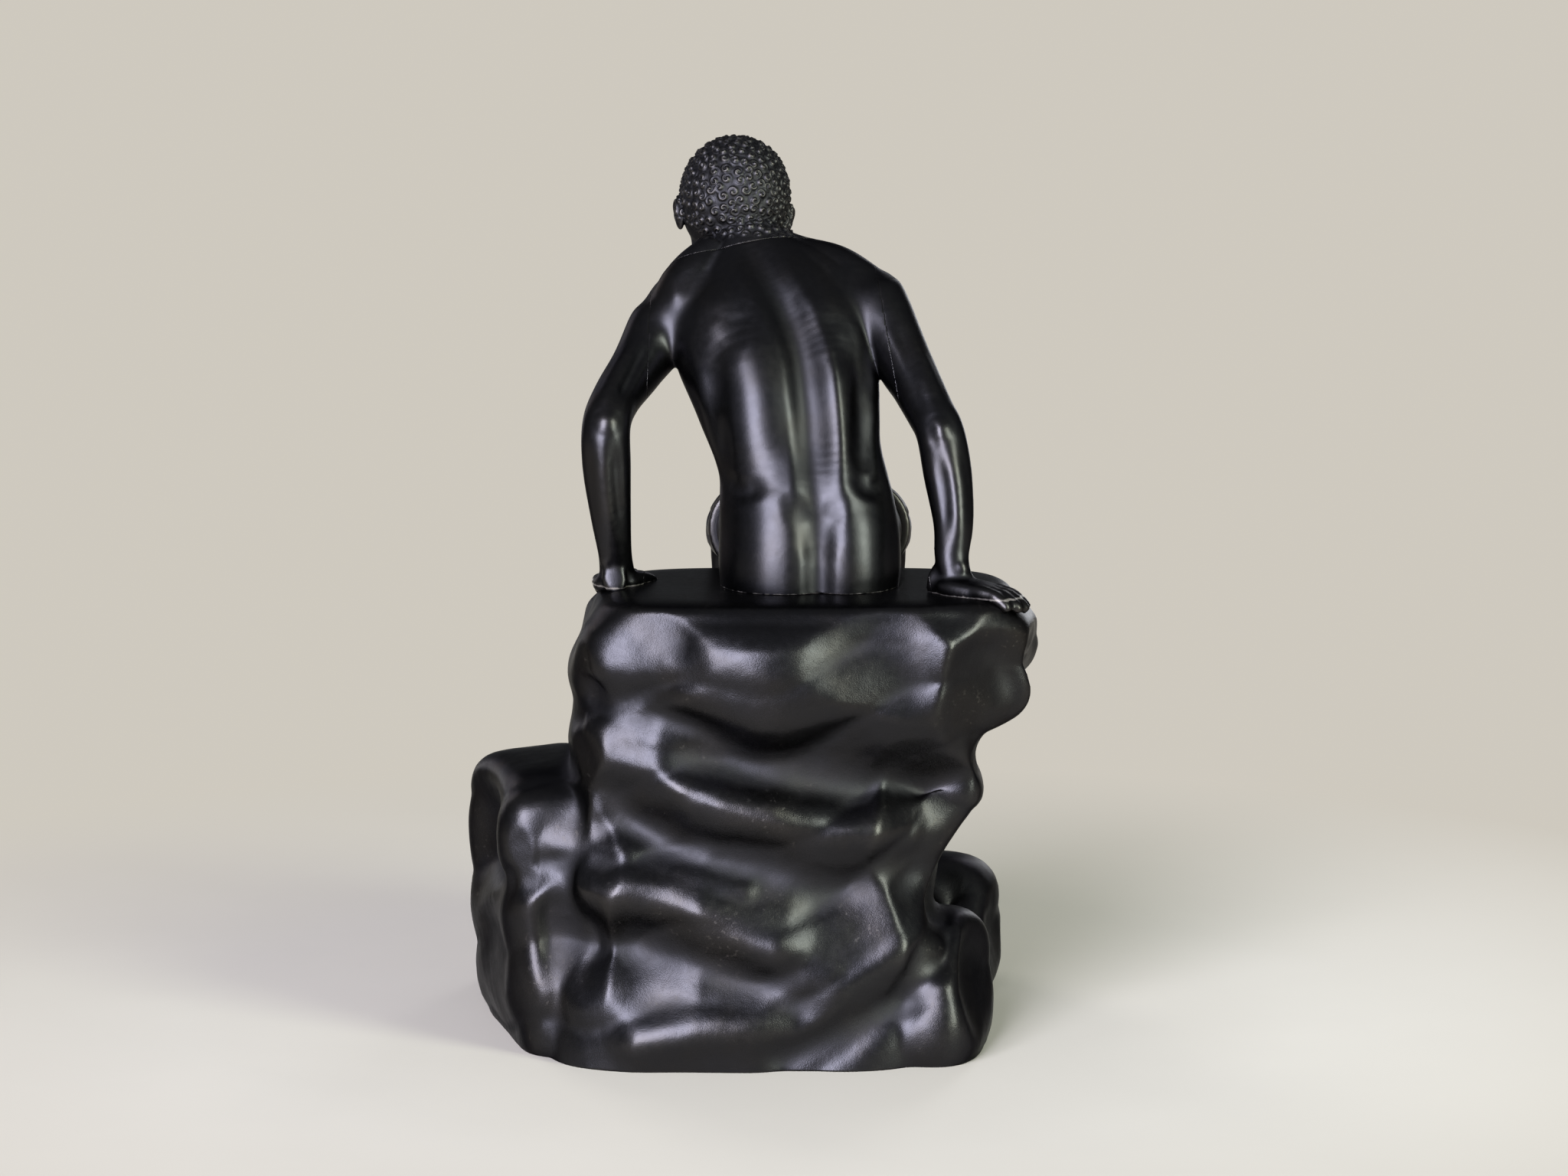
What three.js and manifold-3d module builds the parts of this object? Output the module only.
// A bronze youth seated on a rock, made as a foundry makes one: a hollow rock that is open below, separate
// castings for the trunk, head, arms, legs and lap cloth, dowels between them, and studs and screws that
// hold the figure down from inside the rock.
// Millimetres. +Z is up, the youth faces -Y, and +X is the youth's left. The origin is under the middle.

import * as THREE from 'three';
import { mergeVertices } from 'three/addons/utils/BufferGeometryUtils.js';
import Module from 'manifold-3d';

// Sizes of the rock
const seatHeight = 254; // from the ground to the top of the rock
const stepDrop = 170; // from the seat down to the step under the feet
const rockWall = 6; // thickness of the cast shell
const strataDepth = 2.6; // how far the layers of the rock stand out
const strataPitch = 44; // from one layer to the next
const strataSlope = 0.3; // how steeply the layers fall towards the youth's right
const strataStart = 0.77; // share of a layer that is cut off by the rock's top
const rimDepth = 60; // how far the boulders would reach below the ground

// Where the youth sits on the rock
const seatX = -31;
const seatY = -6;

// Sizes of the figure's castings
const trunkWall = 11; // least bronze round the core of the trunk
const coreWidth = 22; // half the width of the core at its widest
const coreMouth = 11; // radius of the core's opening in the seat
const skullCore = 19; // radius of the hollow in the head
const spineFurrow = 7; // depth of the furrow down the back
const furrowSpread = 0.19; // share of the back's half width that the furrow takes
const furrowLean = 0.32; // share of the half width that the furrow bends to the youth's right
const backMuscle = 3; // height of the long muscle on each side of the furrow
const clothThickness = 4.5;
const clothPleat = 1.6; // height of the cloth's pleats
const pleatCount = 9;
const wingThickness = 3.2;
const toeCount = 5;
const fingerCount = 4;

// Fixings
const jointGap = 0.3; // between two castings, and round each fixing
const dowelRadius = 5;
const shoulderDowelRadius = 4;
const dowelReach = 13; // into each of the two castings
const pinRadius = 1.8;
const pinReach = 9; // into the thigh
const studRadius = 4;
const studReach = 22; // up into the trunk
const studSpread = 22; // from the midline to each stud
const studTail = 3; // below the nut
const seatBossDepth = 11;
const seatBossRadius = 13;
const washerRadius = 10;
const washerThickness = 1.6;
const nutRadius = 7.6;
const nutHeight = 6.5;
const screwRadius = 2.4;
const screwReach = 7; // up into the hand or the foot
const screwHeadRadius = 4.6;
const screwHeadHeight = 3.6;
const screwBossDepth = 9;
const screwBossRadius = 8;
const lugEnd = 4; // of the step's lug beyond the end of its screw
const spotFaceDepth = 12; // room under each boss for its screw head or its nut
const pegRadius = 2;
const pegReach = 5; // of a wing's peg into the leg

// Fineness of the skins
const roundSides = 16; // of dowels, holes and screws
const rockFineness = { sides: 33, rings: 27 };
const hollowFineness = { sides: 18, rings: 15 };
const fingerFineness = { sides: 6, rings: 7 };
const footFineness = { sides: 12, rings: 11 };
const trunkFineness = { sides: 30, rings: 20 };
const yokeFineness = { sides: 12, rings: 9 };
const coreFineness = { sides: 10, rings: 9 };
const armFineness = { sides: 12, rings: 17 };
const legFineness = { sides: 12, rings: 20 };
const sleeveFineness = { sides: 22, rings: 10 };
const bridgeFineness = { sides: 18, rings: 8 };
const fallFineness = { sides: 22, rings: 13 };

const wasm = await Module();
wasm.setup();

// Solids

function solidOf(geometry) {
  const bare = geometry.clone();
  bare.deleteAttribute('normal');
  bare.deleteAttribute('uv');
  const merged = mergeVertices(bare, 1e-4);
  return new wasm.Manifold(new wasm.Mesh({
    numProp: 3,
    vertProperties: merged.attributes.position.array,
    triVerts: new Uint32Array(merged.index.array),
  }));
}

function geometryOf(solid) {
  const { numProp, vertProperties, triVerts } = solid.getMesh();
  const points = new Float32Array((vertProperties.length / numProp) * 3);
  for (let i = 0; i < points.length / 3; i += 1) {
    points.set(vertProperties.subarray(i * numProp, i * numProp + 3), i * 3);
  }
  const geometry = new THREE.BufferGeometry();
  geometry.setAttribute('position', new THREE.BufferAttribute(points, 3));
  geometry.setIndex(new THREE.BufferAttribute(triVerts, 1));
  geometry.computeVertexNormals();
  return geometry;
}

function joined(solids) {
  return solids.reduce((sum, solid) => sum.add(solid));
}

// What is left in one piece when a trim cuts off crumbs.
function largestBody(solid) {
  const bodies = solid.decompose();
  return bodies.reduce((most, body) => (body.volume() > most.volume() ? body : most));
}

function block(low, high) {
  const size = high.map((value, axis) => value - low[axis]);
  const middle = high.map((value, axis) => (value + low[axis]) / 2);
  return solidOf(new THREE.BoxGeometry(...size).translate(...middle));
}

// A round bar from one point to another.
function bar(from, to, radius) {
  const start = new THREE.Vector3(...from);
  const end = new THREE.Vector3(...to);
  const geometry = new THREE.CylinderGeometry(radius, radius, start.distanceTo(end), roundSides);
  const turn = new THREE.Quaternion().setFromUnitVectors(
    new THREE.Vector3(0, 1, 0),
    end.clone().sub(start).normalize(),
  );
  const middle = start.add(end).multiplyScalar(0.5);
  return solidOf(geometry.applyQuaternion(turn).translate(middle.x, middle.y, middle.z));
}

// A round bar that reaches equally far to both sides of a joint.
function barAcross(joint, reach, radius) {
  const step = new THREE.Vector3(...joint.run).normalize().multiplyScalar(reach);
  const middle = new THREE.Vector3(...joint.at);
  return bar(middle.clone().sub(step).toArray(), middle.add(step).toArray(), radius);
}

// A block that fills one side of a joint's plane, from the gap outwards.
function sideOf(joint, gap, reach) {
  const normal = new THREE.Vector3(...joint.normal).normalize();
  const turn = new THREE.Quaternion().setFromUnitVectors(new THREE.Vector3(0, 0, 1), normal);
  const geometry = new THREE.BoxGeometry(reach, reach, reach);
  geometry.translate(0, 0, reach / 2 + gap).applyQuaternion(turn).translate(...joint.at);
  return solidOf(geometry);
}

// Skins

// A closed skin of rings between two end points. place(along, angle) gives each point.
function skin(sides, rings, place) {
  const geometry = new THREE.SphereGeometry(1, sides, rings);
  const position = geometry.attributes.position;
  for (let ring = 0; ring <= rings; ring += 1) {
    const isEnd = ring === 0 || ring === rings;
    for (let column = 0; column <= sides; column += 1) {
      const angle = isEnd ? 0 : (2 * Math.PI * (column % sides)) / sides;
      const point = place(ring, angle);
      position.setXYZ(ring * (sides + 1) + column, point.x, point.y, point.z);
    }
  }
  return geometry;
}

// How far along a limb each ring lies, and how much of its girth it has: both ends are rounded.
function ringSpacing(ring, rings) {
  const capRings = 3;
  const capShare = 0.05;
  const fromEnd = Math.min(ring, rings - ring);
  if (fromEnd >= capRings) {
    const share = (ring - capRings) / (rings - 2 * capRings);
    return { along: capShare + (1 - 2 * capShare) * share, girth: 1 };
  }
  const turn = ((fromEnd / capRings) * Math.PI) / 2;
  const inset = capShare * (1 - Math.cos(turn));
  return { along: ring < capRings ? inset : 1 - inset, girth: Math.sin(turn) };
}

function splineOf(points) {
  return new THREE.CatmullRomCurve3(points.map((point) => new THREE.Vector3(...point)), false, 'catmullrom');
}

// A limb over its stations, each [x, y, z, half width, half depth one way, half depth the other way].
// The two depths are in front and behind on the trunk, and under and over on a thigh.
function limb(stations, { sides, rings, grow = 0, pleat = 0, relief = () => 0, across = [1, 0, 0] }) {
  const path = splineOf(stations.map(([x, y, z]) => [x, y, z]));
  const girths = splineOf(stations.map(([, , , wide, first, second]) => [wide, first, second]));
  const sideways = new THREE.Vector3(...across);
  return solidOf(skin(sides, rings, (ring, angle) => {
    const { along, girth } = ringSpacing(ring, rings);
    const centre = path.getPoint(along);
    const heading = path.getTangent(along);
    const side = sideways.clone().addScaledVector(heading, -sideways.dot(heading)).normalize();
    const depth = side.clone().cross(heading);
    const half = girths.getPoint(along);
    const isFirst = Math.sin(angle) > 0;
    const fold = pleat * Math.sin(pleatCount * angle + 7 * along) * Math.sin(2 * angle + 1);
    const raised = isFirst ? 0 : relief(Math.cos(angle), along);
    const wide = (half.x + grow + fold) * girth;
    const deep = ((isFirst ? half.y : half.z) + grow + fold + raised) * girth;
    return centre
      .addScaledVector(side, wide * Math.cos(angle))
      .addScaledVector(depth, deep * Math.sin(angle));
  }));
}

// How far the back stands out: a furrow that bends to the youth's right, between two long muscles.
function backRelief(across, along) {
  const rise = Math.sin(Math.PI * along);
  const off = Math.abs(across + furrowLean * rise ** 2) / furrowSpread;
  return rise * (backMuscle * Math.exp(-((off - 2) ** 2)) - spineFurrow * Math.exp(-(off ** 2)));
}

// A rounded block, from an egg at power 2 to a brick at power 6.
function pebble({ at, half, power = 2, turn = [0, 0, 0], detail = 5 }, grow = 0, relief = () => 0) {
  const geometry = new THREE.IcosahedronGeometry(1, detail);
  const turned = new THREE.Euler(...turn.map(THREE.MathUtils.degToRad));
  const position = geometry.attributes.position;
  const point = new THREE.Vector3();
  const sizes = half.map((value) => value + grow);
  for (let i = 0; i < position.count; i += 1) {
    point.fromBufferAttribute(position, i);
    const parts = point.toArray().map((value, axis) => Math.abs(value / sizes[axis]) ** power);
    point.multiplyScalar((parts[0] + parts[1] + parts[2]) ** (-1 / power));
    const outward = point.clone().normalize();
    point.applyEuler(turned);
    outward.applyEuler(turned);
    point.x += at[0];
    point.y += at[1];
    point.z += at[2];
    point.addScaledVector(outward, relief(point));
    position.setXYZ(i, point.x, point.y, point.z);
  }
  return solidOf(geometry);
}

// The rock

const stepHeight = seatHeight - stepDrop;

// The main mass: at each share of the seat's height, its left, right, front and back edges.
const rockOutline = [
  [0.965, 88, -147, -91, 73],
  [0.93, 95, -153, -99, 79],
  [0.85, 98, -158, -104, 84],
  [0.785, 97, -152, -103, 81],
  [0.72, 102, -137, -100, 75],
  [0.64, 100, -126, -98, 72],
  [0.55, 104, -127, -97, 77],
  [0.455, 107, -107, -97, 80],
  [0.335, 110, -101, -98, 83],
  [0.2, 113, -103, -100, 87],
  [0, 116, -104, -101, 88],
];
// From the seat out to the first of those rows: shares of the height and of the row's edges.
const rockTop = [[1, 0.4], [1, 0.76], [0.994, 0.92]];
const rockSquareness = 4.5;

// A smaller boulder, from below the ground up to its top.
function boulder([x, y], [halfWidth, halfDepth], top, sunk, shape) {
  return { at: [x, y, (top - sunk) / 2], half: [halfWidth, halfDepth, (top + sunk) / 2], ...shape };
}

// Those at the sides of the rock, and those in front of it that make the step.
const sideBoulders = [
  boulder([110, -18], [41, 78], stepHeight + 70, 14, { power: 5, turn: [0, 3, 16], detail: 4 }),
  boulder([-97, 22], [35, 58], stepHeight - 7, 25, { power: 3, turn: [6, 0, -8], detail: 3 }),
  boulder([111, -98], [48, 60], stepHeight - 8, 12, { power: 3.4, turn: [0, 0, 10], detail: 3 }),
];
const frontBoulders = [
  boulder([-93, -98], [48, 60], stepHeight - 4, 12, { power: 3.4, turn: [0, 0, -12], detail: 3 }),
  boulder([-27, -143], [80, 65], stepHeight, 16, { power: 4.5, turn: [0, 0, 0], detail: 4 }),
];

// Rounded layers with narrow grooves between them, falling to one side.
function strata(point) {
  const wander = 9 * Math.sin(point.x / 37 + point.y / 41) + 5 * Math.sin(point.x / 17 - point.y / 23);
  const fallen = point.z - seatHeight;
  const level = strataStart + (fallen + strataSlope * point.x + wander) / strataPitch;
  const layer = Math.abs(Math.sin(Math.PI * level)) ** 0.7;
  const patch = Math.sin(point.x / 29 + fallen / 53) * Math.sin(point.y / 31 - fallen / 47);
  const flatTop = Math.min(1, Math.max(0, (-4 - fallen) / 20));
  return strataDepth * (2 * layer - 1.4 + 0.5 * patch) * flatTop;
}

function mainMass({ sides, rings }, grow, relief) {
  const widths = splineOf(rockOutline.map(([share, left, right]) => [left + grow, right - grow, share]));
  const depths = splineOf(rockOutline.map(([, , , front, back]) => [front - grow, back + grow, 0]));
  const lowest = rings - rockTop.length - 2;
  return solidOf(skin(sides, rings, (ring, angle) => {
    const down = Math.min(1, Math.max(0, ring - rockTop.length - 1) / lowest);
    const width = widths.getPoint(down);
    const depth = depths.getPoint(down);
    const isEnd = ring === 0 || ring === rings;
    const [share, spread] = isEnd ? [1, 0] : (rockTop[ring - 1] ?? [width.z, 1]);
    const reach = [Math.cos(angle), Math.sin(angle)].map(
      (value) => Math.sign(value) * Math.abs(value) ** (2 / rockSquareness) * spread,
    );
    const point = new THREE.Vector3(
      (width.x + width.y) / 2 + (reach[0] * (width.x - width.y)) / 2,
      (depth.x + depth.y) / 2 + (reach[1] * (depth.y - depth.x)) / 2,
      ring === rings ? -rimDepth : share * seatHeight + grow - (share < 0.5 ? rimDepth * (0.5 - share) : 0),
    );
    const outward = new THREE.Vector3(reach[0], reach[1], 0).normalize();
    return point.addScaledVector(outward, relief(point));
  }));
}

function rockSkin(grow) {
  return joined([
    mainMass(rockFineness, grow, strata),
    ...sideBoulders.map((stone) => pebble(stone, grow, strata)),
  ]);
}

function rockHollow() {
  return joined([
    mainMass(hollowFineness, -rockWall, () => 0),
    ...sideBoulders.map((stone) => pebble({ ...stone, detail: 1 }, -rockWall)),
  ]);
}

function stepSkin(grow) {
  return joined(frontBoulders.map((stone) => pebble(stone, grow, strata)));
}

function stepHollow() {
  return joined(frontBoulders.map((stone) => pebble({ ...stone, detail: 1 }, -rockWall)));
}

const ground = block([-400, -400, -rimDepth - 200], [400, 400, 0]);

// The figure's own frame: its origin is the point of the rock that it sits on.

const trunkStations = [
  [0, 0, -10, 38, 30, 34],
  [0, 0, 6, 48, 34, 38],
  [0, -2, 26, 50, 34, 38],
  [2, -3, 46, 48.5, 32, 33],
  [6, -10, 72, 46, 28, 27],
  [12, -22, 100, 51, 30, 29],
  [18, -39, 127, 57, 32, 31],
  [24, -54, 149, 57, 29, 29],
  [30, -68, 169, 42, 24, 23],
  [35, -79, 184, 22, 18, 19],
  [39, -88, 196, 18.5, 16.5, 17],
  [41, -94, 207, 18, 16, 16],
];

// Muscle from the neck out to each shoulder, in round stations, each [x, y, z, radius].
const yokeStations = {
  left: [
    [40, -84, 184, 15],
    [60, -76, 167, 14],
    [76, -66, 151, 16],
    [84, -58, 138, 15],
  ],
  right: [
    [30, -80, 183, 15],
    [8, -73, 175, 15],
    [-14, -65, 169, 16],
    [-32, -57, 157, 17],
  ],
};

const armStations = {
  left: [
    [78, -62, 158, 11, 12, 12],
    [82, -59, 141, 19, 21, 21],
    [96, -34, 119, 15.2, 17, 17.5],
    [107, -8, 104, 13.5, 14.5, 14.5],
    [112, 12, 91, 13.5, 13, 14],
    [112, 12, 68, 13.5, 13, 13.5],
    [110, 9, 40, 11.3, 11, 11.5],
    [108, 5, 19, 9.5, 8, 9],
    [107, -3, 6, 10, 7, 7],
    [106, -14, 2, 10, 5, 5],
  ],
  right: [
    [-29, -59, 172, 11, 12, 12],
    [-35, -56, 154, 19.5, 22, 22],
    [-53, -28, 122, 15.5, 17, 17.5],
    [-66, -4, 98, 13.5, 14, 14.5],
    [-72, 8, 86, 13.5, 13, 13.5],
    [-76, 14, 64, 13.5, 13, 13],
    [-79, 21, 38, 11.2, 11, 11],
    [-78, 27, 19, 9.5, 8, 9],
    [-82, 31, 5, 9, 7, 8],
    [-90, 36, 0, 9, 6, 6],
  ],
};

const legStations = {
  left: [
    [24, 4, 28, 26, 25, 25],
    [26, -39, 28, 27, 26, 24],
    [30, -79, 22, 25, 24, 22],
    [36, -116, 14, 20, 19, 19.5],
    [39, -137, 4, 18.5, 16, 19.5],
    [39, -142, -18, 17.5, 17, 16],
    [38, -137, -49, 17.5, 21, 14],
    [35, -131, -89, 13, 15, 12],
    [33, -127, -126, 10, 11.5, 10],
    [33, -125, -150, 11, 13, 11],
  ],
  right: [
    [-24, 4, 28, 26, 25, 25],
    [-26, -39, 28, 27, 26, 24],
    [-30, -79, 22, 25, 24, 22],
    [-36, -116, 13, 20, 19, 19.5],
    [-39, -135, 2, 18.5, 16, 19.5],
    [-39, -138, -20, 17.5, 17, 16],
    [-37, -132, -51, 17.5, 21, 14],
    [-33, -124, -91, 13, 15, 12],
    [-30, -118, -127, 10, 11.5, 10],
    [-30, -116, -150, 11, 13, 11],
  ],
};

// Each joint has a point, the direction from the trunk into the other casting, and the run of its dowel.
const joints = {
  neck: { at: [35.5, -80, 184], normal: [3, -6.5, 13], run: [3, -6.5, 13] },
  leftShoulder: { at: [90, -46, 127], normal: [1, 0, 0.02], run: [0.5, 0.65, -0.57] },
  rightShoulder: { at: [-43.5, -48, 137], normal: [-0.98, 0, 0.17], run: [-0.62, 0.4, -0.67] },
  leftHip: { at: [25, -38, 27], normal: [0, -1, 0], run: [0, -1, 0] },
  rightHip: { at: [-25, -38, 27], normal: [0, -1, 0], run: [0, -1, 0] },
};
const hipTop = 55; // the hip joints' plane ends here, in the crease between belly and thigh
const farAway = 300;
const neckReach = 58; // the neck joint's block keeps off the shoulders

// Hands and feet

// A hand on the rock. Its frame: x to the fingertips, y to the thumb, z to the back of the hand.
function handShape() {
  const palm = pebble({ at: [15, 0, 0], half: [19, 13.5, 7], power: 2.6, detail: 2 });
  const fingers = [];
  for (let i = 0; i < fingerCount; i += 1) {
    const y = 9.3 - (18.6 * i) / (fingerCount - 1);
    const length = 20 - 2.4 * Math.abs(i - 1.3) ** 1.5;
    fingers.push(fingerShape([
      [24, y, -0.5],
      [29 + length * 0.35, y * 1.06, 0.4],
      [30 + length * 0.7, y * 1.08, -2.6],
      [30 + length, y * 1.06, -7],
    ], 4.7));
  }
  fingers.push(fingerShape([[5, 7, -1], [15, 15, -2], [25, 19.5, -4], [33, 20.5, -6]], 5.2));
  return joined([palm, ...fingers]);
}

function fingerShape(points, radius) {
  const path = splineOf(points);
  const { sides, rings } = fingerFineness;
  return solidOf(skin(sides, rings, (ring, angle) => {
    const { along, girth } = ringSpacing(ring, rings);
    const heading = path.getTangent(along);
    const side = new THREE.Vector3(0, 0, 1).cross(heading).normalize();
    const depth = side.clone().cross(heading);
    const reach = radius * (1 - 0.18 * along) * girth;
    return path.getPoint(along)
      .addScaledVector(side, reach * Math.cos(angle))
      .addScaledVector(depth, reach * Math.sin(angle));
  }));
}

// A foot on the step. Its frame: the heel is near the origin, the toes point along -y, the sole is at z 0.
function footShape() {
  const sole = limb([
    [0, 19, 11, 10, 10, 9],
    [0, 8, 13, 12.5, 13, 13],
    [0, -8, 15, 13, 15, 17],
    [0, -28, 12, 15, 12, 13],
    [0, -46, 8, 18, 8, 9],
    [0, -60, 6, 17.5, 6, 6.5],
  ], footFineness);
  const toes = [];
  for (let i = 0; i < toeCount; i += 1) {
    const x = -14 + (27 * i) / (toeCount - 1);
    const big = i === 0 ? 1.45 : 1;
    const reach = 71 - 2.1 * i ** 1.35;
    toes.push(fingerShape([[x, -52, 6], [x, -60, 6.5], [x, -reach, 4]], 4.3 * big));
  }
  return joined([sole, ...toes]);
}

// Puts a shape at a point with its own x, y and z axes given, mirrored when they are left-handed.
function placed(shape, at, xAxis, zAxis, mirror = 1) {
  const x = new THREE.Vector3(...xAxis).normalize();
  const z = new THREE.Vector3(...zAxis);
  z.addScaledVector(x, -z.dot(x)).normalize();
  const y = z.clone().cross(x).multiplyScalar(mirror);
  const matrix = new THREE.Matrix4().makeBasis(x, y, z).setPosition(...at);
  return shape.transform(matrix.elements);
}

// The head, in its own frame: the face looks along -y, and its middle is the origin.

const headAt = [43, -102, 202];
const headTurn = [24, -3, 4]; // bowed, a little to one side

function headShape(grow) {
  const skull = pebble({ at: [0, 4, 6], half: [32, 37, 35.5], power: 2.1, detail: 4 }, grow, curls);
  const face = pebble({ at: [0, -11, -12], half: [23.5, 23, 28], power: 2.3, detail: 3 }, grow);
  const chin = pebble({ at: [0, -22, -33], half: [10, 9, 8], detail: 1 }, grow);
  const brow = pebble({ at: [0, -27, 4], half: [19, 7, 5], power: 2.4, detail: 1 });
  const nose = pebble({ at: [0, -34, -9], half: [4.6, 6.5, 10], turn: [-14, 0, 0], detail: 2 });
  const lips = pebble({ at: [0, -32.5, -22], half: [8, 3.6, 3.4], detail: 1 });
  const ears = [-1, 1].map((side) => pebble(
    { at: [side * 29, 2, -6], half: [4.5, 7, 10.5], turn: [8, side * -12, 0], detail: 1 },
  ));
  const whole = joined([skull, face, chin, brow, nose, lips, ...ears]);
  return moved(whole, headAt, headTurn);
}

// Short curls over the skull, none on the brow.
function curls(point) {
  const bumps = Math.sin(point.x / 2.6 + point.z / 5) * Math.sin(point.z / 2.7) * Math.cos(point.y / 2.9);
  const onBrow = point.y < -22 && point.z < 20 ? 0 : 1;
  return 1.1 * bumps * onBrow;
}

function moved(solid, at, turn) {
  const turned = new THREE.Euler(...turn.map(THREE.MathUtils.degToRad));
  const matrix = new THREE.Matrix4().makeRotationFromEuler(turned).setPosition(...at);
  return solid.transform(matrix.elements);
}

// The lap cloth

// A sleeve round both thighs, cut off above the seat, and a fall between the knees.
function clothShape() {
  const sleeves = [legStations.left, legStations.right].map((stations) => limb(
    stations.slice(0, 6),
    { ...sleeveFineness, grow: clothThickness, pleat: clothPleat },
  ));
  const bridge = limb([
    [0, -30, 28, 20, 16, 22],
    [0, -60, 27, 24, 16, 21],
    [0, -90, 20, 28, 14, 19],
    [0, -114, 12, 30, 12, 15],
  ], { ...bridgeFineness, pleat: clothPleat });
  const fall = limb([
    [0, -92, 24, 24, 6, 6],
    [0, -120, 24, 22, 5, 5],
    [0, -141, 8, 20, 4, 4],
    [0, -146, -24, 19, 4, 4],
    [0, -141, -58, 23, 4, 4],
    [0, -137, -80, 20, 3, 3],
  ], { ...fallFineness, pleat: clothPleat });
  const kept = block([-80, -108, 8], [80, -30, 100]);
  const lap = joined([...sleeves, bridge]).intersect(kept);
  return lap.add(fall);
}

// The ankle wings

// Three feathers cut from a plate, in the plate's own x and y.
function wingOutline() {
  const outline = new THREE.Shape();
  outline.moveTo(-4, -5);
  outline.quadraticCurveTo(6, -9, 12, -4);
  outline.quadraticCurveTo(20, 0, 22, 8);
  outline.quadraticCurveTo(18, 5, 16, 6);
  outline.quadraticCurveTo(22, 12, 23, 20);
  outline.quadraticCurveTo(16, 13, 13, 13);
  outline.quadraticCurveTo(18, 20, 18, 29);
  outline.quadraticCurveTo(4, 20, -2, 8);
  outline.quadraticCurveTo(-6, 2, -4, -5);
  return outline;
}

function wingShape() {
  const plate = new THREE.ExtrudeGeometry(wingOutline(), {
    depth: wingThickness,
    bevelEnabled: false,
    curveSegments: 5,
  });
  const peg = bar([2, 0, wingThickness / 2], [2, 0, -pegReach], pegRadius);
  return solidOf(plate).add(peg);
}

function wingHole() {
  return bar([2, 0, 1], [2, 0, -pegReach - jointGap], pegRadius + jointGap);
}

// Where the hands and feet lie, in the figure's frame: each hand's wrist, the way its fingers point and
// the way its back faces, and each foot's heel and the way its toes point.
const handPlaces = {
  left: { at: [108, 2, 2.5], along: [0.02, -1, -0.12], up: [0.16, 0, 1], mirror: -1 },
  right: { at: [-75, 27, 3.6], along: [-0.86, 0.48, -0.1], up: [-0.1, 0, 1], mirror: 1 },
};
const footPlaces = {
  left: { at: [34, -128, 0.2 - stepDrop], across: [1, 0.1, 0], toes: [0.1, -1, 0], mirror: 1 },
  right: { at: [-31, -119, 0.2 - stepDrop], across: [-1, 0.12, 0], toes: [-0.12, -1, 0], mirror: -1 },
};
const palmToScrew = 14; // from the wrist to the screw under the palm
const palmDepth = 7; // from the middle of the palm down to the rock
const heelToScrew = 18; // from the heel to the screw under the sole

function reached(at, direction, reach) {
  const step = new THREE.Vector3(...direction).normalize().multiplyScalar(reach);
  return step.add(new THREE.Vector3(...at)).toArray();
}

// Where the figure is fixed to the rock: each point is on the rock's skin, in the figure's frame.
const seatFixings = { left: [studSpread, 0, 0], right: [-studSpread, 0, 0] };
const handFixings = {
  left: below(reached(handPlaces.left.at, handPlaces.left.along, palmToScrew), palmDepth),
  right: below(reached(handPlaces.right.at, handPlaces.right.along, palmToScrew), palmDepth),
};
const footFixings = {
  left: reached(footPlaces.left.at, footPlaces.left.toes, heelToScrew),
  right: reached(footPlaces.right.at, footPlaces.right.toes, heelToScrew),
};
// Where the step is screwed to the front of the rock, from inside it, in the rock's own frame.
const stepFixings = {
  left: [seatX + 44, -98, stepHeight - 12],
  right: [seatX - 36, -95, stepHeight - 12],
};
const wingPlaces = {
  left: { at: [46.2, -126, -133], mirror: 1 },
  right: { at: [-43.2, -117, -133], mirror: -1 },
};

function onRock([x, y, z]) {
  return [x + seatX, y + seatY, z + seatHeight];
}

function below([x, y, z], depth) {
  return [x, y, z - depth];
}

function screwShape(point) {
  const profile = [
    [0, screwReach],
    [screwRadius, screwReach],
    [screwRadius, -screwBossDepth - jointGap],
    [screwHeadRadius, -screwBossDepth - jointGap],
    [screwHeadRadius, -screwBossDepth - jointGap - 0.6 * screwHeadHeight],
    [0.6 * screwHeadRadius, -screwBossDepth - jointGap - screwHeadHeight],
    [0, -screwBossDepth - jointGap - screwHeadHeight],
  ].map(([radius, z]) => new THREE.Vector2(radius, z)).reverse();
  const geometry = new THREE.LatheGeometry(profile, roundSides);
  return solidOf(geometry.rotateX(Math.PI / 2).translate(...point));
}

function screwHole(point) {
  const top = below(point, -screwReach - jointGap);
  return bar(below(point, screwBossDepth + 1), top, screwRadius + jointGap);
}

function studShape(point) {
  const length = seatBossDepth + washerThickness + nutHeight + studTail;
  return bar(below(point, length), below(point, -studReach), studRadius);
}

function studHole(point) {
  return bar(below(point, seatBossDepth + 1), below(point, -studReach - jointGap), studRadius + jointGap);
}

function washerShape(point) {
  const top = below(point, seatBossDepth + jointGap);
  const disc = bar(top, below(top, washerThickness), washerRadius);
  return disc.subtract(bar(below(top, -1), below(top, washerThickness + 1), studRadius + jointGap));
}

function nutShape(point) {
  const top = below(point, seatBossDepth + washerThickness + 2 * jointGap);
  const hexagon = new THREE.CylinderGeometry(nutRadius, nutRadius, nutHeight, 6).rotateX(Math.PI / 2);
  const body = solidOf(hexagon.translate(top[0], top[1], top[2] - nutHeight / 2));
  return body.subtract(bar(below(top, -1), below(top, nutHeight + 1), studRadius + jointGap));
}

// Castings

function spotFace(point, bossDepth, radius) {
  return bar(below(point, bossDepth), below(point, bossDepth + spotFaceDepth), radius);
}

function boss(point, cover, depth, radius) {
  return bar(below(point, depth), below(point, cover), radius);
}

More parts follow.
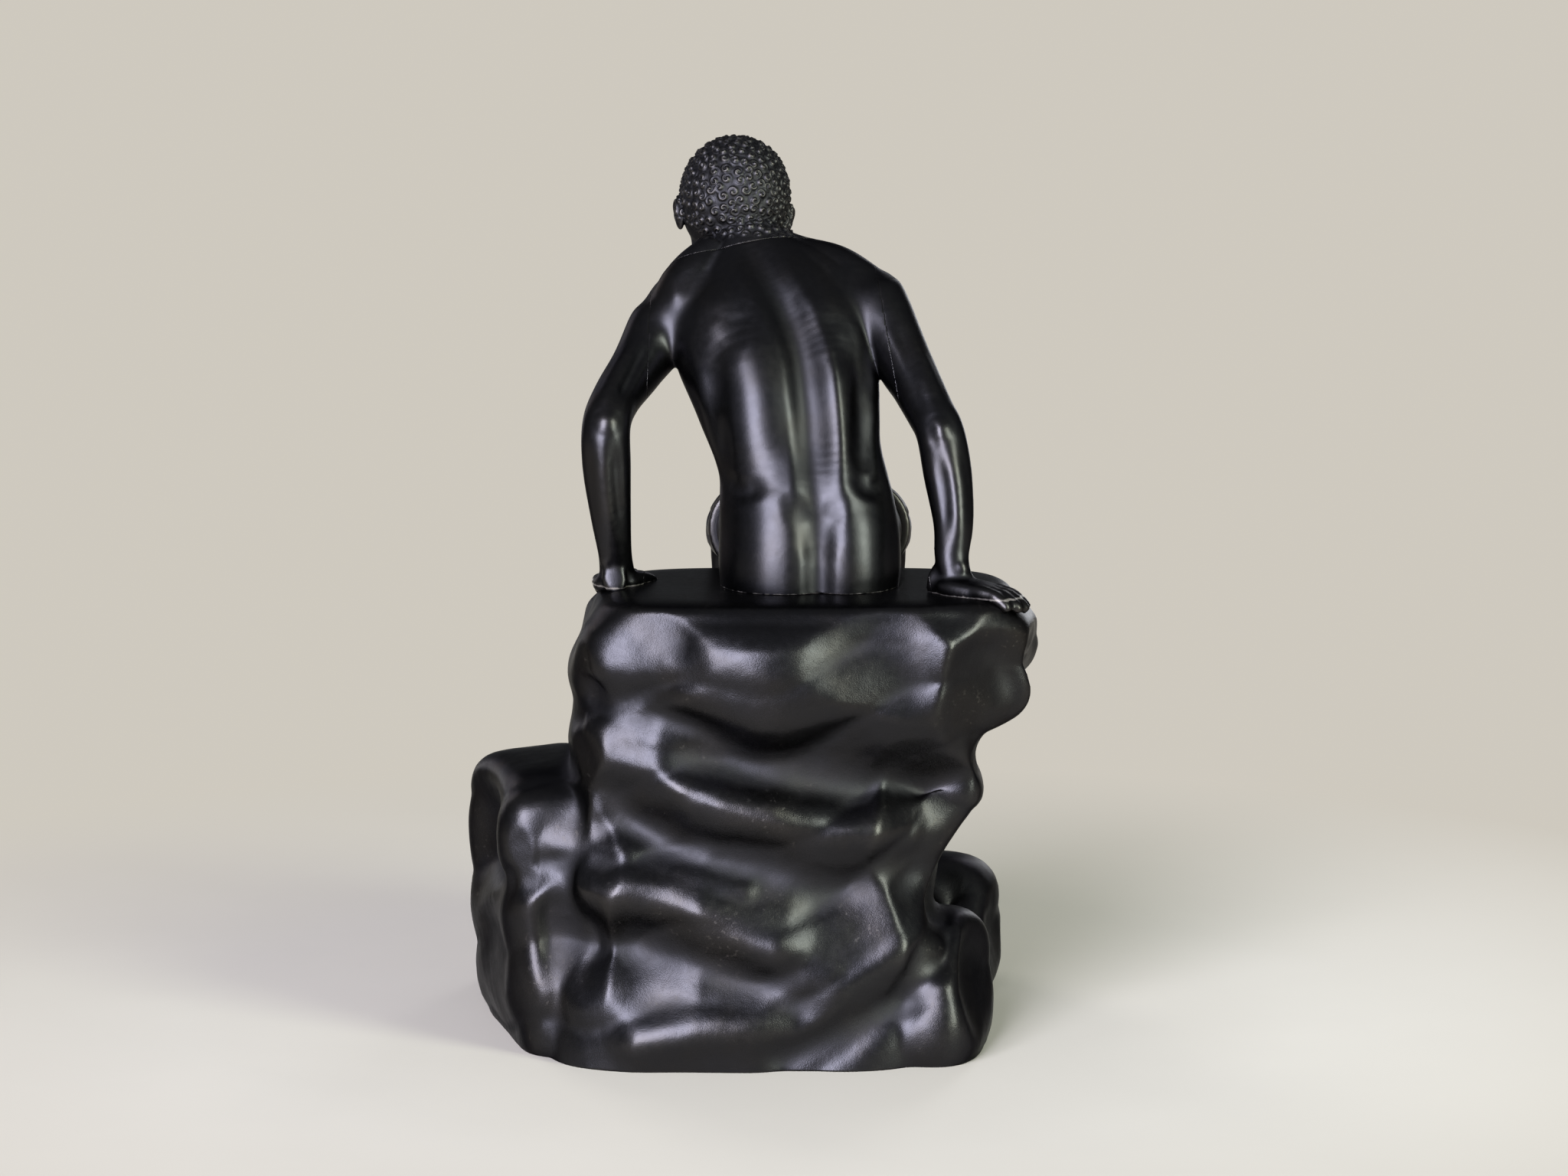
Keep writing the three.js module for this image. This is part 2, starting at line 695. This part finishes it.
// Turns what is made upright at the origin so that it runs forward, from the rock into the step.
function turnedForward(solid, point) {
  return moved(solid, point, [90, 0, 0]);
}

function screwed(point, cover) {
  return {
    boss: boss(point, cover, screwBossDepth, screwBossRadius),
    hole: screwHole(point).add(spotFace(point, screwBossDepth, screwBossRadius)),
  };
}

function rockCasting() {
  const studs = Object.values(seatFixings).map(onRock);
  const hands = Object.values(handFixings).map((point) => screwed(onRock(point), rockWall));
  const front = screwed([0, 0, 0], rockWall / 2);
  const fronts = Object.values(stepFixings);
  const bosses = [
    ...studs.map((point) => boss(point, rockWall / 2, seatBossDepth, seatBossRadius)),
    ...hands.map((hand) => hand.boss),
    ...fronts.map((point) => turnedForward(front.boss, point)),
  ];
  const holes = [
    ...studs.map(studHole),
    ...studs.map((point) => spotFace(point, seatBossDepth, seatBossRadius)),
    ...hands.map((hand) => hand.hole),
    ...fronts.map((point) => turnedForward(front.hole, point)),
  ];
  const shell = rockSkin(0).subtract(rockHollow()).add(joined(bosses));
  return largestBody(shell.subtract(joined([ground, ...holes])));
}

// The step under the feet is fitted against the front of the rock, with a lug for each of its screws.
function stepCasting() {
  const feet = Object.values(footFixings).map((point) => screwed(onRock(point), rockWall));
  const fronts = Object.values(stepFixings);
  const lug = bar([0, 0, -rockWall], [0, 0, screwReach + lugEnd], screwBossRadius);
  const shell = joined([
    stepSkin(0).subtract(stepHollow()),
    ...feet.map((foot) => foot.boss),
    ...fronts.map((point) => turnedForward(lug, point)),
  ]);
  return largestBody(shell.subtract(joined([
    ground,
    rockSkin(jointGap),
    ...feet.map((foot) => foot.hole),
    ...fronts.map((point) => turnedForward(screwHole([0, 0, 0]), point)),
  ])));
}

function trunkShape(grow) {
  const yokes = Object.values(yokeStations).map(
    (stations) => limb(
      stations.map(([x, y, z, radius]) => [x, y, z, radius, radius, radius]),
      { ...yokeFineness, grow, across: [0, 1, 0] },
    ),
  );
  return joined([limb(trunkStations, { ...trunkFineness, grow, relief: backRelief }), ...yokes]);
}

// The rock with its gap, seen from the figure's frame.
const rockFit = rockSkin(jointGap).add(stepSkin(jointGap)).translate([-seatX, -seatY, -seatHeight]);

const trunk = trunkShape(0);
const head = headShape(0);
const arms = {};
const legs = {};
for (const side of ['left', 'right']) {
  arms[side] = limb(armStations[side], armFineness);
  legs[side] = limb(legStations[side], legFineness);
}

function handPlaced({ at, along, up, mirror }) {
  return placed(handShape(), at, along, up, mirror);
}

function footPlaced({ at, across, mirror }) {
  return placed(footShape(), at, across, [0, 0, 1], mirror);
}

const hands = { left: handPlaced(handPlaces.left), right: handPlaced(handPlaces.right) };
const feet = { left: footPlaced(footPlaces.left), right: footPlaced(footPlaces.right) };

function hipBlock(gap) {
  return block([-farAway, -farAway, -farAway], [farAway, joints.leftHip.at[1] - gap, hipTop]);
}

function trunkCasting() {
  const outer = joined([trunk, arms.left, arms.right, legs.left, legs.right]);
  const cuts = [
    sideOf(joints.neck, -jointGap / 2, neckReach),
    sideOf(joints.leftShoulder, -jointGap / 2, farAway),
    sideOf(joints.rightShoulder, -jointGap / 2, farAway),
    hipBlock(-jointGap / 2),
    rockFit,
    trunkCore(),
    headShape(jointGap),
    ...dowelHoles(),
    ...Object.values(seatFixings).map(studHole),
  ];
  return largestBody(outer.subtract(joined(cuts)));
}

function trunkCore() {
  const stations = trunkStations.slice(3, 8).map(([x, y, z, wide, front, back]) => [
    x, y, z, Math.min(wide - trunkWall, coreWidth), front - trunkWall, back - trunkWall,
  ]);
  const core = limb(stations, coreFineness);
  const [x, y, z] = trunkStations[4];
  return core.add(bar([x, y, z], [0, 0, trunkStations[0][2] - 10], coreMouth));
}

const dowelSizes = {
  neck: dowelRadius,
  leftShoulder: shoulderDowelRadius,
  rightShoulder: shoulderDowelRadius,
  leftHip: dowelRadius,
  rightHip: dowelRadius,
};

function dowel(name) {
  return barAcross(joints[name], dowelReach, dowelSizes[name]);
}

function dowelHoles() {
  return Object.keys(joints).map(
    (name) => barAcross(joints[name], dowelReach + jointGap, dowelSizes[name] + jointGap),
  );
}

function headCasting() {
  const outer = trunk.intersect(sideOf(joints.neck, jointGap / 2, neckReach)).add(head);
  const hollow = pebble({ at: [0, 4, 5], half: [skullCore, skullCore + 3, skullCore], detail: 2 });
  const core = moved(hollow, headAt, headTurn);
  const vent = bar(joints.neck.at, headAt, dowelRadius + jointGap);
  return largestBody(outer.subtract(joined([core, vent, ...dowelHoles()])));
}

function armCasting(side) {
  const joint = joints[`${side}Shoulder`];
  const outer = joined([arms[side], trunk]).intersect(sideOf(joint, jointGap / 2, farAway));
  const whole = outer.add(hands[side]);
  return largestBody(whole.subtract(joined([rockFit, screwHole(handFixings[side]), ...dowelHoles()])));
}

function legCasting(side) {
  const sign = side === 'left' ? 1 : -1;
  const nearHalf = sign > 0 ? [jointGap / 2, farAway] : [-farAway, -jointGap / 2];
  const half = block([nearHalf[0], -farAway, -farAway], [nearHalf[1], farAway, farAway]);
  const thigh = joined([legs.left, legs.right, trunk]).intersect(hipBlock(jointGap / 2)).intersect(half);
  const whole = thigh.add(feet[side].intersect(half));
  const hole = wingPlaced(wingHole(), side);
  return largestBody(whole.subtract(
    joined([rockFit, hole, screwHole(footFixings[side]), ...dowelHoles(), ...pinHoles()]),
  ));
}

// The cloth pins stand in the tops of the thighs.
const pinPlaces = { left: [29, -72, 46], right: [-29, -72, 46] };
const pinTop = 2.2; // into the cloth

function pinShape([x, y, z], extra = 0) {
  return bar([x, y, z - pinReach - extra], [x, y, z + pinTop + extra], pinRadius + extra);
}

function pinHoles() {
  return Object.values(pinPlaces).map((place) => pinShape(place, jointGap));
}

function clothCasting() {
  const grown = [legStations.left, legStations.right].map(
    (stations) => limb(stations, { ...legFineness, grow: jointGap }),
  );
  const trunkFit = trunkShape(jointGap);
  return largestBody(clothShape().subtract(joined([...grown, trunkFit, rockFit, ...pinHoles()])));
}

function wingPlaced(shape, side) {
  const { at, mirror } = wingPlaces[side];
  return placed(shape, at, [0, 1, 0.35], [mirror, 0, 0], mirror);
}

// Materials, each with the tone of its own casting

function bronze(name, colour, roughness) {
  return new THREE.MeshStandardMaterial({ name, color: colour, roughness, metalness: 0.85 });
}

const statue = new THREE.Group();

function addPiece(name, solid, material, parent = statue) {
  const mesh = new THREE.Mesh(geometryOf(solid), material);
  mesh.name = name;
  parent.add(mesh);
}

const figure = new THREE.Group();
figure.position.set(seatX, seatY, seatHeight);
statue.add(figure);

addPiece('rock_base', rockCasting(), bronze('black patina on rock', 0x17150f, 0.4));
addPiece('foot_step', stepCasting(), bronze('black patina on step', 0x17150f, 0.4));
addPiece('torso', trunkCasting(), bronze('black patina on trunk', 0x191612, 0.3), figure);
addPiece('head', headCasting(), bronze('black patina on head', 0x1c1a17, 0.5), figure);
addPiece('lap_cloth', clothCasting(), bronze('black patina on cloth', 0x1a1713, 0.42), figure);
addPiece('neck_dowel', dowel('neck'), bronze('plain bronze of neck dowel', 0x8a6a3a, 0.45), figure);

for (const side of ['left', 'right']) {
  addPiece(`${side}_arm`, armCasting(side), bronze(`black patina on ${side} arm`, 0x191612, 0.3), figure);
  addPiece(`${side}_leg`, legCasting(side), bronze(`black patina on ${side} leg`, 0x191612, 0.3), figure);
  addPiece(
    `ankle_wing_${side}`,
    wingPlaced(wingShape(), side),
    bronze(`black patina on ${side} wing`, 0x1c1914, 0.4),
    figure,
  );
  addPiece(
    `shoulder_dowel_${side}`,
    dowel(`${side}Shoulder`),
    bronze(`plain bronze of ${side} shoulder dowel`, 0x8a6a3a, 0.45),
    figure,
  );
  addPiece(
    `hip_dowel_${side}`,
    dowel(`${side}Hip`),
    bronze(`plain bronze of ${side} hip dowel`, 0x8a6a3a, 0.45),
    figure,
  );
  addPiece(
    `cloth_pin_${side}`,
    pinShape(pinPlaces[side]),
    bronze(`plain bronze of ${side} cloth pin`, 0x8a6a3a, 0.45),
    figure,
  );
  addPiece(
    `seat_stud_${side}`,
    studShape(seatFixings[side]),
    bronze(`brass of ${side} seat stud`, 0x9a7b3f, 0.4),
    figure,
  );
  addPiece(
    `seat_washer_${side}`,
    washerShape(seatFixings[side]),
    bronze(`brass of ${side} seat washer`, 0x9a7b3f, 0.4),
    figure,
  );
  addPiece(
    `seat_nut_${side}`,
    nutShape(seatFixings[side]),
    bronze(`brass of ${side} seat nut`, 0x9a7b3f, 0.4),
    figure,
  );
  addPiece(
    `hand_screw_${side}`,
    screwShape(handFixings[side]),
    bronze(`brass of ${side} hand screw`, 0x9a7b3f, 0.4),
    figure,
  );
  addPiece(
    `foot_screw_${side}`,
    screwShape(footFixings[side]),
    bronze(`brass of ${side} foot screw`, 0x9a7b3f, 0.4),
    figure,
  );
  addPiece(
    `step_screw_${side}`,
    turnedForward(screwShape([0, 0, 0]), stepFixings[side]),
    bronze(`brass of ${side} step screw`, 0x9a7b3f, 0.4),
  );
}

// The origin is on the ground, under the middle of the whole.
const extent = new THREE.Box3().setFromObject(statue);
const middle = extent.getCenter(new THREE.Vector3());
statue.position.set(-middle.x, -middle.y, -extent.min.z);

export default statue;
